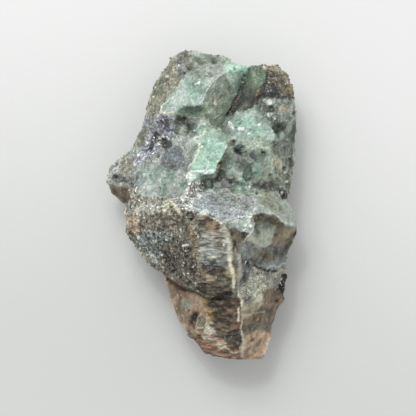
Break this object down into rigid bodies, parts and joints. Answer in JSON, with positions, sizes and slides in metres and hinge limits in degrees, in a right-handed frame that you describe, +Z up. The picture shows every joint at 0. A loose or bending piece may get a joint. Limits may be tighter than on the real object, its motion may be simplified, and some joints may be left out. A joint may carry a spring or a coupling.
{
  "type": "raw emerald crystal in schist",
  "caption": "Rough broken stone of pale green emerald beryl grown through dark mica schist, lying on its back on a flat parting face.",
  "frame": {"origin": "on the table, at the bottom centre of the stone's bounding box, inside the flat parting face", "axes": "+Z up from the table through the stone's thickness, +Y from the narrow tail to the broad head, +X across the stone from the nub to the ledge's point"},
  "size_m": [0.0318, 0.0518, 0.0218],
  "materials": {
    "stone": "rough broken schist and beryl, dull to silvery",
    "mica": "bright cleaved flakes",
    "beryl": "cloudy pale green, vitreous on fresh breaks"
  },
  "bodies": {
    "root": {"raw_emerald": "stone"}
  },
  "joints": []
}
